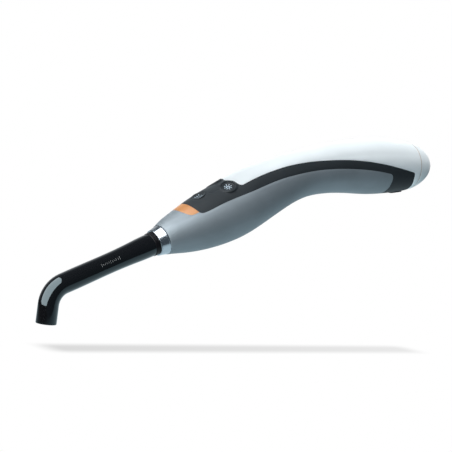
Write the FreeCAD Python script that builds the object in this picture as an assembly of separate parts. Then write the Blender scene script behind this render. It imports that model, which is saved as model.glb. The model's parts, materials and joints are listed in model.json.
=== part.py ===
"""Cordless dental curing light: a slim wand with a bent light guide.

Frame: millimetres, +Z up. The origin is the centre of the light window at the
tip of the guide, and the light leaves along -Z. The handle runs to +X and the
whole light is symmetric about the plane y = 0.
"""
import FreeCAD
import Part

import math
import os

from FreeCAD import Vector

# ---- light guide and the axis that it shares with the front of the handle
GUIDE_SLOPE = 24.35          # rise of the straight part of the guide, degrees
CORNER_Z = 15.8              # where that axis meets the light axis above the window
BEND_RADIUS = 11.0           # centre line of the bend
TIP_RADIUS = 4.85            # light window and bent part
FLARE_RADIUS = 5.42          # widest part, next to the collar

# ---- stations along the guide axis, measured from the corner of the bend
COLLAR_FRONT = 56.4
RING_FRONT = 58.8
HANDLE_FRONT = 63.5          # back of the metal ring, front edge of the grey housing
BUSH_BACK = 74.0
SOCKET_BACK = 77.0
LED_FACE = 84.0
SINK_BACK = 101.0

# ---- radii around the guide axis
FERRULE_BORE = 4.55
FERRULE_RADIUS = 5.35
BUSH_BORE = 5.45
BUSH_RADIUS = 6.0
SOCKET_BORE = 6.1
SOCKET_RADIUS = 6.8
RING_BORE = 5.65
SNAP_RING_RADIUS = 6.45
SNAP_RING_WIDTH = 0.7
RING_FRONT_RADIUS = 6.3
RING_BACK_RADIUS = 7.3
LED_BOARD_RADIUS = 7.0

# ---- handle: centre line height and radius at each distance x
HANDLE_STATIONS = [
    (66.0, 45.7, 10.1),
    (75.0, 49.6, 12.3),
    (85.0, 54.2, 13.9),
    (96.0, 59.6, 14.55),
    (107.0, 66.2, 14.25),
    (119.0, 72.6, 13.0),
    (132.0, 78.4, 11.9),
    (146.0, 82.4, 12.0),
    (162.0, 85.35, 13.2),
    (178.0, 87.15, 14.35),
    (190.0, 88.3, 14.1),
    (198.3, 88.95, 13.4),
]
HANDLE_FRONT_RADIUS = 7.45
SEAM = (205.4, 89.65)        # centre of the seam in front of the end cap
SEAM_RADIUS = 12.2
TAIL_SLOPE = 5.8             # rise of the battery axis, degrees
CAP_LENGTH = 14.4            # seam to rear end
WALL = 1.6                   # wall of the handle shells
NOSE_LENGTH = 6.0            # solid rim round the socket at the front of the housing
GASKET_WIDTH = 0.45
PARTING_GAP = 0.05           # gap at faces that part when the battery comes out

# ---- buttons: distance x on the centre line, angle off the top, radius, height of the
# rim round the button, height of its edge above the frame, depth of its dish
START_X = 80.9
START_RADIUS = 3.7
MODE_X = 94.3
MODE_ANGLE = 23.5
MODE_RADIUS = 3.2
WINDOW_X = 88.3
WINDOW_LENGTH = 7.0
WINDOW_WIDTH = 9.0
WINDOW_CORNER = 1.6
BUTTON_GAP = 0.12
BUTTON_THICKNESS = 1.9
BUTTON_TRAVEL = 0.5
BUTTON_EDGE = 0.3
START_SHAPE = (0.0, -0.05, 0.9)
MODE_SHAPE = (0.4, 0.05, 0.6)
RIM_WIDTH = 1.1
SWITCH_RADIUS = 2.1
FLEX_DEPTH = 4.2
FLEX_LENGTH = 24.5
FLEX_WIDTH = 15.0

# ---- battery pack
CELL_RADIUS = 8.0
CELL_LENGTH = 46.0
CARRIER_RADIUS = 9.2
CARRIER_WALL = 1.0
PACK_FRONT = 54.0            # seam to the front face of the pack
PLUG_RADIUS = 10.1
PLUG_LENGTH = 3.0
TOOTH_RADIUS = 9.75          # snap arm tooth, pressed in

# ---- release button under the rear of the handle, measured from the seam
RELEASE_BACK = 7.2
RELEASE_LENGTH = 6.0
RELEASE_WIDTH = 8.0
RELEASE_CORNER = 2.0
RELEASE_GAP = 0.15
RELEASE_PROUD = 0.45
RELEASE_TRAVEL = 0.6

# ---- main board
BOARD_START = (99.0, 61.0)
BOARD_SLOPE = 23.1
BOARD_LENGTH = 44.0
BOARD_WIDTH = 13.0
BOARD_THICKNESS = 1.2
RIBBON_WIDTH = 5.0
RIBBON_THICKNESS = 0.2

FAR = 300.0                  # larger than the object, for cutting tools


def unit(slope):
    """Direction in the plane y = 0 that rises by slope degrees towards +X."""
    angle = math.radians(slope)
    return Vector(math.cos(angle), 0, math.sin(angle))


def upright(slope):
    """Direction at right angles to unit(slope), pointing up."""
    angle = math.radians(slope)
    return Vector(-math.sin(angle), 0, math.cos(angle))


GUIDE_AXIS = unit(GUIDE_SLOPE)
TAIL_AXIS = unit(TAIL_SLOPE)
SEAM_POINT = Vector(SEAM[0], 0, SEAM[1])


def on_guide(distance):
    return Vector(0, 0, CORNER_Z) + GUIDE_AXIS * distance


def on_tail(distance):
    """Point on the battery axis, distance counted from the seam to the rear."""
    return SEAM_POINT + TAIL_AXIS * distance


def pin(start, direction, radius, length):
    return Part.makeCylinder(radius, length, start, direction)


def tube(start, direction, outer, inner, length):
    hole = pin(start - direction, direction, inner, length + 2)
    return pin(start, direction, outer, length).cut(hole)


def block(centre, direction, length, width, height):
    """Box along direction, centred in plan, standing on the point centre."""
    box = Part.makeBox(length, width, height, Vector(-length / 2, -width / 2, 0))
    slope = math.degrees(math.atan2(direction.z, direction.x))
    box.rotate(Vector(), Vector(0, 1, 0), -slope)
    box.translate(centre)
    return box


def revolved(profile, start, direction):
    """Turn a closed wire, drawn as (distance, radius) in XZ, about an axis."""
    solid = Part.Face(profile).revolve(Vector(), Vector(1, 0, 0), 360)
    slope = math.degrees(math.atan2(direction.z, direction.x))
    solid.rotate(Vector(), Vector(0, 1, 0), -slope)
    solid.translate(start)
    return solid


def polygon(points):
    corners = [Vector(x, 0, z) for x, z in points]
    return Part.makePolygon(corners + [corners[0]])


def smooth_edge(points):
    curve = Part.BSplineCurve()
    curve.interpolate([Vector(x, 0, z) for x, z in points])
    return curve.toShape()


def prism_across(curves, corners):
    """Prism across the handle. Its side view is the curves, in order, then the corners."""
    edges = [smooth_edge(points) for points in curves]
    closing = [curves[-1][-1]] + corners + [curves[0][0]]
    path = Part.makePolygon([Vector(x, 0, z) for x, z in closing])
    face = Part.Face(Part.Wire(edges + path.Edges))
    face.translate(Vector(0, -FAR / 2, 0))
    return face.extrude(Vector(0, FAR, 0))


# ------------------------------------------------------------- handle shape

def stations():
    """Centre point, radius and slope of every section of the handle."""
    front = on_guide(HANDLE_FRONT)
    rows = [(front, HANDLE_FRONT_RADIUS)]
    rows += [(Vector(x, 0, z), radius) for x, z, radius in HANDLE_STATIONS]
    rows.append((SEAM_POINT, SEAM_RADIUS))
    spine = Part.BSplineCurve()
    spine.interpolate([point for point, radius in rows])
    result = []
    for point, radius in rows:
        tangent = spine.tangent(spine.parameter(point))[0]
        slope = math.degrees(math.atan2(tangent.z, tangent.x))
        result.append([point, radius, slope])
    result[0][2] = GUIDE_SLOPE
    result[-1][2] = TAIL_SLOPE
    return result


STATIONS = stations()


def handle_solid(inset):
    """Handle from the metal ring to the seam, smaller all round by inset."""
    wires = []
    for point, radius, slope in STATIONS:
        ring = Part.Circle(Vector(), Vector(1, 0, 0), max(radius - inset, 1.0)).toShape()
        ring.rotate(Vector(), Vector(0, 1, 0), -slope)
        ring.translate(point)
        wires.append(Part.Wire(ring))
    return Part.makeLoft(wires, True, False)


OUTER = handle_solid(0)
INNER = handle_solid(WALL)
SHELL = OUTER.cut(INNER)


def spine_at(x):
    """Centre point, radius and surface slope on top of the handle at x."""
    for first, second in zip(STATIONS, STATIONS[1:]):
        if first[0].x <= x <= second[0].x:
            share = (x - first[0].x) / (second[0].x - first[0].x)
            point = first[0] + (second[0] - first[0]) * share
            radius = first[1] + (second[1] - first[1]) * share
            slope = first[2] + (second[2] - first[2]) * share
            length = (second[0] - first[0]).Length
            rise = math.degrees(math.atan2(second[1] - first[1], length))
            return point, radius, slope, rise
    raise ValueError("x is off the handle")


def button_axis(x, angle):
    """Point on the surface and outward normal, angle degrees off the top."""
    point, radius, slope, rise = spine_at(x)
    turn = math.radians(angle)
    out = upright(slope) * math.cos(turn) + Vector(0, math.sin(turn), 0)
    line = Part.LineSegment(point, point + out * FAR).toShape()
    hit = OUTER.common(line)
    surface = max((vertex.Point for vertex in hit.Vertexes), key=lambda p: (p - point).Length)
    tilt = math.radians(rise)
    normal = out * math.cos(tilt) - unit(slope) * math.sin(tilt)
    return surface, normal


BUTTONS = {
    "start_button": (START_X, 0.0, START_RADIUS, START_SHAPE),
    "left_mode_button": (MODE_X, -MODE_ANGLE, MODE_RADIUS, MODE_SHAPE),
    "right_mode_button": (MODE_X, MODE_ANGLE, MODE_RADIUS, MODE_SHAPE),
}


# ------------------------------------------------------------- shell edges

# upper edge of the grey housing where it meets the black frame, front to rear
GREY_EDGE = [
    (71.0, 57.2), (72.3, 56.95), (73.9, 57.5), (81.4, 61.7), (96.7, 68.9),
    (110.6, 75.1), (125.5, 79.9), (140.4, 83.3), (152.1, 84.9), (164.0, 85.7),
    (175.0, 85.7), (182.2, 85.2),
]
GREY_CORNER = [(182.2, 85.2), (184.9, 84.4), (186.1, 82.0)]
GREY_REAR = [(186.1, 82.0), (187.2, 76.0), (187.8, 68.0)]

# lower edge of the white cover, front corner to rear corner
WHITE_EDGE = [
    (94.3, 71.9), (98.5, 74.3), (112.5, 80.5), (126.8, 85.0), (140.9, 87.8),
    (151.7, 89.2), (162.3, 89.95), (173.3, 89.85), (185.7, 88.9), (200.4, 87.0),
]
WHITE_REAR = [(201.2, 86.2), (201.7, 84.0), (203.6, 79.5), (204.0, 68.0)]

# accent band in front of the keypad, seen from the side
BAND_EDGE = [(62.6, 57.6), (64.2, 56.25), (65.6, 55.65), (67.2, 55.35), (69.0, 55.95), (71.0, 57.2)]
BAND_TOP = [(68.2, 60.0), (67.0, 64.0)]

# front edge of the white cover seen from above, centre line to corner
COVER_FRONT = [(89.9, 0.0), (90.7, 2.2), (91.9, 4.4), (92.35, 6.2), (93.0, 7.7), (94.3, 8.75)]


def cover_front_plan():
    """Region behind the front edge of the white cover, seen from above."""
    left = [Vector(x, -y, 0) for x, y in reversed(COVER_FRONT)]
    right = [Vector(x, y, 0) for x, y in COVER_FRONT[1:]]
    curve = Part.BSplineCurve()
    curve.interpolate(left + right)
    corners = [right[-1], Vector(FAR, 60, 0), Vector(FAR, -60, 0), left[0]]
    face = Part.Face(Part.Wire([curve.toShape()] + Part.makePolygon(corners).Edges))
    return face.extrude(Vector(0, 0, FAR))


# side views of the shells: below the white cover, the grey housing, the band
BELOW_WHITE = prism_across([WHITE_EDGE], WHITE_REAR + [(60, 20), (60, 72)])
GREY_SIDE = prism_across(
    [GREY_EDGE, GREY_CORNER, GREY_REAR], [(150, 20), (50, 20), (50, 66), BAND_TOP[1], BAND_TOP[0]])
BAND_SIDE = prism_across([BAND_EDGE], BAND_TOP)


# ------------------------------------------------------------- outer shells

def accent_band():
    return SHELL.common(BAND_SIDE)


def lower_housing():
    """Grey shell: the front cone and the belly, with the bore for the socket."""
    shell = SHELL.common(GREY_SIDE).cut(BAND_SIDE)
    nose = OUTER.common(pin(on_guide(HANDLE_FRONT), GUIDE_AXIS, HANDLE_FRONT_RADIUS, NOSE_LENGTH))
    shell = shell.fuse(nose)
    return shell.cut(pin(on_guide(HANDLE_FRONT - 1), GUIDE_AXIS, SOCKET_RADIUS, 20.0))


def top_cover():
    """White shell: the back of the handle and the full band before the seam."""
    cover = SHELL.cut(BELOW_WHITE).common(cover_front_plan())
    for rim in button_rims():
        cover = cover.cut(rim)
    return cover


def middle_frame():
    """Black shell with the keypad field, button holes and the release window."""
    black = SHELL.cut(GREY_SIDE).cut(BAND_SIDE).cut(top_cover())
    for rim in button_rims():
        black = black.fuse(rim)
    for x, angle, radius, shape in BUTTONS.values():
        surface, normal = button_axis(x, angle)
        black = black.cut(pin(surface - normal * 4, normal, radius + BUTTON_GAP, 8))
    black = black.cut(window_prism(0))
    return black.cut(release_prism(RELEASE_GAP))


def button_rims():
    """The raised rims round the mode buttons; the start button has none."""
    rims = []
    for x, angle, radius, (rim_height, proud, dish_depth) in BUTTONS.values():
        if rim_height > 0:
            rims.append(button_rim(*button_axis(x, angle), radius, rim_height))
    return rims


def button_rim(surface, normal, radius, top):
    """Rounded rim round a button hole, rooted in the wall of the frame."""
    inner = radius + BUTTON_GAP
    outer = inner + RIM_WIDTH
    root = -WALL * 0.8
    start = Vector(root, 0, inner)
    up = Vector(top - 0.12, 0, inner)
    crown = Vector(top, 0, inner + RIM_WIDTH * 0.3)
    down = Vector(-0.8, 0, outer)
    low = Vector(root, 0, outer)
    arc = Part.Arc(up, crown, down).toShape()
    sides = [arc] + Part.makePolygon([down, low, start, up]).Edges
    ring = Part.Face(Part.Wire(sides)).revolve(Vector(), Vector(1, 0, 0), 360)
    return placed_on(ring, surface, normal)


def placed_on(shape, surface, normal):
    """Move a shape drawn about +X so that +X becomes the normal."""
    turn = FreeCAD.Rotation(Vector(1, 0, 0), normal)
    moved = shape.copy()
    moved.Placement = FreeCAD.Placement(surface, turn).multiply(moved.Placement)
    return moved


def button(name):
    """Button cap: a plug with a rounded edge and a spherical dish in its top."""
    x, angle, radius, (rim_height, proud, dish_depth) = BUTTONS[name]
    surface, normal = button_axis(x, angle)
    plug = pin(Vector(-BUTTON_THICKNESS, 0, 0), Vector(1, 0, 0), radius, BUTTON_THICKNESS + proud)
    rim = [edge for edge in plug.Edges if edge.BoundBox.XMin > proud - 0.01]
    plug = plug.makeFillet(BUTTON_EDGE, rim)
    reach = radius - BUTTON_EDGE
    depth = dish_depth + proud
    dish_radius = (reach ** 2 + depth ** 2) / (2 * depth)
    dish = Part.makeSphere(dish_radius, Vector(dish_radius - dish_depth, 0, 0))
    return placed_on(plug.cut(dish), surface, normal)


def window_prism(gap):
    """Rounded plug through the frame between the start and mode buttons."""
    surface, normal = button_axis(WINDOW_X, 0)
    length = WINDOW_LENGTH - 2 * gap
    width = WINDOW_WIDTH - 2 * gap
    plug = Part.makeBox(10, width, length, Vector(-5, -width / 2, -length / 2))
    upright_edges = [edge for edge in plug.Edges if abs(edge.tangentAt(edge.FirstParameter).x) > 0.9]
    plug = plug.makeFillet(WINDOW_CORNER, upright_edges)
    return placed_on(plug, surface, normal)


def display_window():
    return SHELL.common(window_prism(0.04))


# ------------------------------------------------------------- light guide

def light_guide():
    """Bent rod: light window, bend, slowly widening shaft and inner stub."""
    tangent = BEND_RADIUS * math.tan(math.radians(90 - GUIDE_SLOPE) / 2)
    straight = CORNER_Z - tangent
    tip = Part.makeCylinder(TIP_RADIUS, straight, Vector(0, 0, 0), Vector(0, 0, 1))
    tip_edge = [edge for edge in tip.Edges if edge.BoundBox.ZMax < 0.01]
    tip = tip.makeFillet(0.35, tip_edge)
    circle = Part.Circle(Vector(0, 0, straight), Vector(0, 0, 1), TIP_RADIUS)
    disc = Part.Face(Part.Wire(circle.toShape()))
    bend = disc.revolve(Vector(BEND_RADIUS, 0, straight), Vector(0, 1, 0), 90 - GUIDE_SLOPE)
    flare = [
        (tangent, TIP_RADIUS), (24, TIP_RADIUS - 0.05), (37, TIP_RADIUS - 0.05),
        (46, 5.12), (51, 5.36), (COLLAR_FRONT, FLARE_RADIUS),
    ]
    ends = [(COLLAR_FRONT, FLARE_RADIUS), (COLLAR_FRONT, 0), (tangent, 0), (tangent, TIP_RADIUS)]
    lines = Part.makePolygon([Vector(along, 0, radius) for along, radius in ends]).Edges
    shaft = revolved(Part.Wire([smooth_edge(flare)] + lines), Vector(0, 0, CORNER_Z), GUIDE_AXIS)
    stub = pin(on_guide(COLLAR_FRONT), GUIDE_AXIS, FERRULE_BORE, BUSH_BACK + 0.5 - COLLAR_FRONT)
    return tip.fuse([bend, shaft, stub]).removeSplitter()


def guide_collar():
    """Black stop collar between the flare of the guide and the metal ring."""
    length = RING_FRONT - 0.3 - COLLAR_FRONT
    profile = polygon([
        (0, FERRULE_BORE), (0, FLARE_RADIUS + 0.1), (0.15, FLARE_RADIUS + 0.25),
        (length, FLARE_RADIUS + 0.35), (length, FERRULE_BORE),
    ])
    collar = revolved(profile, on_guide(COLLAR_FRONT), GUIDE_AXIS)
    return collar.cut(guide_ferrule())


def guide_ferrule():
    """Steel sleeve on the inner end of the guide with a groove for the O-ring."""
    start = RING_FRONT - 1.5
    sleeve = tube(on_guide(start), GUIDE_AXIS, FERRULE_RADIUS, FERRULE_BORE, BUSH_BACK - start)
    groove = tube(on_guide(69.0), GUIDE_AXIS, FERRULE_RADIUS + 1, FERRULE_RADIUS - 0.4, 0.9)
    return sleeve.cut(groove)


def ferrule_o_ring():
    ring = Part.makeTorus(FERRULE_RADIUS - 0.02, 0.37, on_guide(69.45), GUIDE_AXIS)
    keep = tube(on_guide(68), GUIDE_AXIS, BUSH_BORE - 0.03, FERRULE_RADIUS - 0.38, 3)
    return ring.common(keep)


def swivel_bush():
    """Turning bush that lets the guide be aimed to any side."""
    start = HANDLE_FRONT + SNAP_RING_WIDTH + 0.4
    return tube(on_guide(start), GUIDE_AXIS, BUSH_RADIUS, BUSH_BORE, BUSH_BACK - start)


def snap_ring():
    """Open spring ring in a groove of the socket that keeps the bush in."""
    start = on_guide(HANDLE_FRONT + 0.15)
    ring = tube(start, GUIDE_AXIS, SNAP_RING_RADIUS - 0.05, RING_BORE, SNAP_RING_WIDTH)
    slot = block(start + upright(GUIDE_SLOPE) * RING_BORE * -1, GUIDE_AXIS, 8, 2.4, 8)
    slot.translate(upright(GUIDE_SLOPE) * -4)
    return ring.cut(slot)


def front_ring():
    """Polished conical ring that closes the front of the handle."""
    length = HANDLE_FRONT - RING_FRONT
    edge = 0.25
    profile = polygon([
        (0, RING_BORE), (0, RING_FRONT_RADIUS - edge), (edge, RING_FRONT_RADIUS),
        (length - edge, RING_BACK_RADIUS), (length, RING_BACK_RADIUS - edge), (length, RING_BORE),
    ])
    return revolved(profile, on_guide(RING_FRONT), GUIDE_AXIS)


def guide_socket():
    """Metal socket tube with an inner step at its rear that stops the bush."""
    length = SOCKET_BACK - HANDLE_FRONT
    body = tube(on_guide(HANDLE_FRONT), GUIDE_AXIS, SOCKET_RADIUS, SOCKET_BORE, length)
    step_start = BUSH_BACK + 0.7
    step = tube(on_guide(step_start), GUIDE_AXIS, SOCKET_RADIUS, FERRULE_BORE, SOCKET_BACK - step_start)
    groove = tube(on_guide(HANDLE_FRONT + 0.1), GUIDE_AXIS, SNAP_RING_RADIUS, 1.0, SNAP_RING_WIDTH + 0.1)
    return body.fuse(step).removeSplitter().cut(groove)


# ------------------------------------------------------------- light engine

def collimator():
    """Polished cone that gathers the light of the dies into the guide."""
    length = LED_FACE - SOCKET_BACK
    outer = Part.makeCone(SOCKET_RADIUS, LED_BOARD_RADIUS, length, on_guide(SOCKET_BACK), GUIDE_AXIS)
    inner = Part.makeCone(4.4, 3.2, length + 0.02, on_guide(SOCKET_BACK - 0.01), GUIDE_AXIS)
    return outer.cut(inner)


def led_board():
    return pin(on_guide(LED_FACE), GUIDE_AXIS, LED_BOARD_RADIUS, 1.2)


def led_dies():
    """Four light emitting dies in a square on the board."""
    dies = []
    for side in (-1, 1):
        for level in (-1, 1):
            centre = on_guide(LED_FACE - 0.35) + Vector(0, side, 0) + upright(GUIDE_SLOPE) * (level - 0.6)
            dies.append(block(centre, GUIDE_AXIS, 0.7, 1.2, 1.2))
    return Part.makeCompound(dies)


def heat_sink():
    """Aluminium body behind the board, turned with cooling grooves."""
    body = pin(on_guide(LED_FACE + 1.2), GUIDE_AXIS, LED_BOARD_RADIUS, SINK_BACK - LED_FACE - 1.2)
    for number in range(5):
        start = on_guide(LED_FACE + 4 + 2.6 * number)
        body = body.cut(tube(start, GUIDE_AXIS, LED_BOARD_RADIUS + 1, 4.2, 1.3))
    return body


def led_ribbon():
    """Flat lead from the light engine over the heat sink to the main board."""
    rise = LED_BOARD_RADIUS + 0.1
    path = [(LED_FACE + 0.3, rise), (SINK_BACK + 1.0, rise), (107.0, 2.4), (112.0, 2.4)]
    strip = [(along, height + RIBBON_THICKNESS) for along, height in reversed(path)]
    face = Part.Face(polygon(path + strip))
    face.rotate(Vector(), Vector(0, 1, 0), -GUIDE_SLOPE)
    face.translate(Vector(0, -RIBBON_WIDTH / 2, CORNER_Z))
    return face.extrude(Vector(0, RIBBON_WIDTH, 0))


# ------------------------------------------------------------- keypad

def keypad_flex():
    """Curved circuit under the keypad that carries the three switches."""
    plate = handle_solid(FLEX_DEPTH).cut(handle_solid(FLEX_DEPTH + 0.5))
    keep = Part.makeBox(FLEX_LENGTH, FLEX_WIDTH, FAR, Vector(71.0, -FLEX_WIDTH / 2, 0))
    above = prism_across([[(60, 49.5), (80, 59.5), (100, 68)]], [(100, 150), (60, 150)])
    return plate.common(keep).common(above)


def tact_switches():
    """One low round switch under each button, clear of its travel."""
    switches = []
    top = BUTTON_THICKNESS + BUTTON_TRAVEL + 0.15
    for x, angle, radius, shape in BUTTONS.values():
        surface, normal = button_axis(x, angle)
        height = FLEX_DEPTH - top - 0.1
        switches.append(pin(surface - normal * (top + height), normal, SWITCH_RADIUS, height))
    return Part.makeCompound(switches)


# ------------------------------------------------------------- boards inside

def board_point(along, above):
    start = Vector(BOARD_START[0], 0, BOARD_START[1])
    return start + unit(BOARD_SLOPE) * along + upright(BOARD_SLOPE) * above


def main_board():
    middle = board_point(BOARD_LENGTH / 2, 0)
    board = block(middle, unit(BOARD_SLOPE), BOARD_LENGTH, BOARD_WIDTH, BOARD_THICKNESS)
    for screw in screw_places():
        board = board.cut(pin(screw - upright(BOARD_SLOPE), upright(BOARD_SLOPE), 0.9, 4))
    return board


def screw_places():
    """Four screw centres on the lower face of the main board."""
    places = []
    for along in (4.0, BOARD_LENGTH - 4.0):
        for side in (-4.5, 4.5):
            places.append(board_point(along, 0) + Vector(0, side, 0))
    return places


def board_screws():
    """Pan head screws with a cross recess that hold the main board."""
    screws = []
    up = upright(BOARD_SLOPE)
    for place in screw_places():
        shank = pin(place - up * 2.4, up, 0.75, 2.4 + BOARD_THICKNESS)
        head = pin(place + up * BOARD_THICKNESS, up, 1.4, 0.9)
        recess = block(place + up * (BOARD_THICKNESS + 0.5), unit(BOARD_SLOPE), 1.6, 0.35, 1.0)
        cross = block(place + up * (BOARD_THICKNESS + 0.5), unit(BOARD_SLOPE), 0.35, 1.6, 1.0)
        screws.append(shank.fuse(head).cut(recess).cut(cross))
    return Part.makeCompound(screws)


def control_chips():
    """Processor, driver, coil and a row of small parts on the main board."""
    chips = []
    layout = [(12.0, 0.0, 6.0, 6.0, 1.0), (20.5, 1.5, 5.0, 4.0, 1.4), (32.5, -1.0, 5.5, 5.5, 2.6)]
    for along, side, length, width, height in layout:
        place = board_point(along, BOARD_THICKNESS) + Vector(0, side, 0)
        chips.append(block(place, unit(BOARD_SLOPE), length, width, height))
    for number in range(4):
        place = board_point(17.5 + 2.4 * number, BOARD_THICKNESS) + Vector(0, -4.6, 0)
        chips.append(block(place, unit(BOARD_SLOPE), 1.6, 0.9, 0.7))
    return Part.makeCompound(chips)


def buzzer():
    """Round sounder on the lower face of the main board."""
    down = upright(BOARD_SLOPE) * -1
    can = pin(board_point(24, 0), down, 4.2, 3.0)
    port = pin(board_point(24, 0) + down * 2.4, down, 0.8, 1.0)
    return can.cut(port)


def inner_chassis():
    """Tray in the grey housing with two cross webs that carry the board."""
    skin = handle_solid(WALL + 0.1).cut(handle_solid(WALL + 1.1))
    low = board_point(-1, -2.6)
    high = board_point(BOARD_LENGTH + 3, -2.6)
    below = Part.Face(polygon([(low.x, low.z), (high.x, high.z), (high.x, 0), (low.x, 0)]))
    below.translate(Vector(0, -FAR / 2, 0))
    tray = skin.common(below.extrude(Vector(0, FAR, 0)))
    core = handle_solid(WALL + 0.1)
    for along in (4.0, BOARD_LENGTH - 4.0):
        web = block(board_point(along, -20), unit(BOARD_SLOPE), 3.4, 40, 20).common(core)
        tray = tray.fuse(web)
    for place in screw_places():
        tray = tray.cut(pin(place - upright(BOARD_SLOPE) * 2.4, upright(BOARD_SLOPE), 0.75, 4))
    return tray


# ------------------------------------------------------------- battery side

def contact_block():
    """Insulating block that faces the front of the battery pack."""
    centre = on_tail(-PACK_FRONT - 4.2)
    disc = pin(centre, TAIL_AXIS, 8.6, 2.2)
    core = handle_solid(WALL + 0.15)
    disc = disc.common(core)
    for place in contact_places(-PACK_FRONT - 5):
        disc = disc.cut(pin(place, TAIL_AXIS, 0.8, 5))
    return disc


def contact_places(distance):
    """Three contact centres in a row across the battery axis."""
    return [on_tail(distance) + Vector(0, side, 0) for side in (-4.0, 0.0, 4.0)]


def contact_pins():
    """Gold contact pins with a wider barrel and a round nose."""
    pins = []
    for place in contact_places(-PACK_FRONT - 4.8):
        barrel = pin(place, TAIL_AXIS, 0.8, 3.2)
        nose = pin(place + TAIL_AXIS * 3.2, TAIL_AXIS, 0.5, 1.2)
        pins.append(barrel.fuse(nose))
    return Part.makeCompound(pins)


def cell_carrier():
    """Black cradle of the cell with side windows, a snap tooth and a rear plug."""
    start = on_tail(-PACK_FRONT)
    down = upright(TAIL_SLOPE) * -1
    body = tube(start, TAIL_AXIS, CARRIER_RADIUS, CARRIER_RADIUS - CARRIER_WALL, PACK_FRONT)
    for middle in (-38.0, -20.0):
        window = block(on_tail(middle) + down * 3.25, TAIL_AXIS, 13.0, 30, 6.5)
        body = body.cut(window)
    body = body.fuse(pin(on_tail(-PLUG_LENGTH), TAIL_AXIS, PLUG_RADIUS, PLUG_LENGTH))
    tooth = block(on_tail(-RELEASE_BACK) + down * TOOTH_RADIUS, TAIL_AXIS, 3.0, 4.0, 1.2)
    body = body.fuse(tooth)
    return body.cut(pin(on_tail(-PLUG_LENGTH - 1), TAIL_AXIS, 2.2, PLUG_LENGTH + 2))


def battery_cell():
    """Lithium cell: wrapped can with a raised cap at its front."""
    start = on_tail(-PACK_FRONT + 3.2)
    can = pin(start, TAIL_AXIS, CELL_RADIUS, CELL_LENGTH)
    rims = [edge for edge in can.Edges if edge.Length > 2 * CELL_RADIUS * 3]
    can = can.makeFillet(0.5, rims)
    cap = pin(start - TAIL_AXIS * 0.8, TAIL_AXIS, 2.6, 1.2)
    return can.fuse(cap)


def battery_board():
    """Round protection board at the front of the pack."""
    return pin(on_tail(-PACK_FRONT + 0.4), TAIL_AXIS, CARRIER_RADIUS - CARRIER_WALL, 1.0)


def battery_pads():
    """Flat gold contacts on the protection board."""
    return Part.makeCompound([pin(place, TAIL_AXIS, 1.2, 0.3) for place in contact_places(-PACK_FRONT + 0.1)])


def seam_gasket():
    """Thin light ring that seals the seam in front of the end cap."""
    outer = SEAM_RADIUS - 0.05
    return tube(on_tail(PARTING_GAP), TAIL_AXIS, outer, PLUG_RADIUS - 0.6, GASKET_WIDTH)


def end_cap():
    """White dome that ends the handle, hollow and carried by the pack."""
    start = PARTING_GAP + GASKET_WIDTH
    length = CAP_LENGTH - start
    outer = dome(SEAM_RADIUS, length)
    inner = dome(SEAM_RADIUS - WALL, length - WALL)
    cap = outer.cut(inner)
    cap = placed_on(cap, on_tail(start), TAIL_AXIS)
    floor = tube(on_tail(start), TAIL_AXIS, SEAM_RADIUS - WALL + 0.3, 2.2, 1.2)
    cap = cap.fuse(floor)
    for place, direction in charging_places():
        cap = cap.cut(pin(place - direction * 4, direction, 1.5, 8))
    return cap


def dome(radius, length):
    """Solid of revolution about +X: a full curve from the rim to the pole."""
    rim = Vector(0, 0, radius)
    pole = Vector(length, 0, 0)
    curve = Part.BezierCurve()
    curve.setPoles([rim, Vector(length * 0.43, 0, radius * 0.861), Vector(length, 0, radius * 0.55), pole])
    sides = [curve.toShape(), Part.makeLine(pole, Vector()), Part.makeLine(Vector(), rim)]
    return Part.Face(Part.Wire(sides)).revolve(Vector(), Vector(1, 0, 0), 360)


def charging_places():
    """Surface centres and outward directions of the two charging contacts."""
    places = []
    for side in (-3.4, 3.4):
        centre = on_tail(CAP_LENGTH - 0.75) + Vector(0, side, 0)
        places.append((centre, TAIL_AXIS))
    return places


def charging_contacts():
    """Two gold studs in the rear of the end cap that meet the charging base."""
    studs = []
    for place, direction in charging_places():
        studs.append(pin(place - direction * 3.6, direction, 1.5, 3.0))
    return Part.makeCompound(studs)


def release_prism(gap):
    """Rounded plug through the underside of the frame."""
    down = upright(TAIL_SLOPE) * -1
    width = RELEASE_WIDTH + 2 * gap
    length = RELEASE_LENGTH + 2 * gap
    plug = Part.makeBox(12, width, length, Vector(8, -width / 2, -length / 2))
    edges = [edge for edge in plug.Edges if abs(edge.tangentAt(edge.FirstParameter).x) > 0.9]
    plug = plug.makeFillet(RELEASE_CORNER, edges)
    return placed_on(plug, on_tail(-RELEASE_BACK), down)


def release_button():
    """Push button that frees the battery pack, a little proud of the frame."""
    skin = handle_solid(-RELEASE_PROUD).cut(handle_solid(WALL + 0.2))
    return skin.common(release_prism(0))


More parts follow.
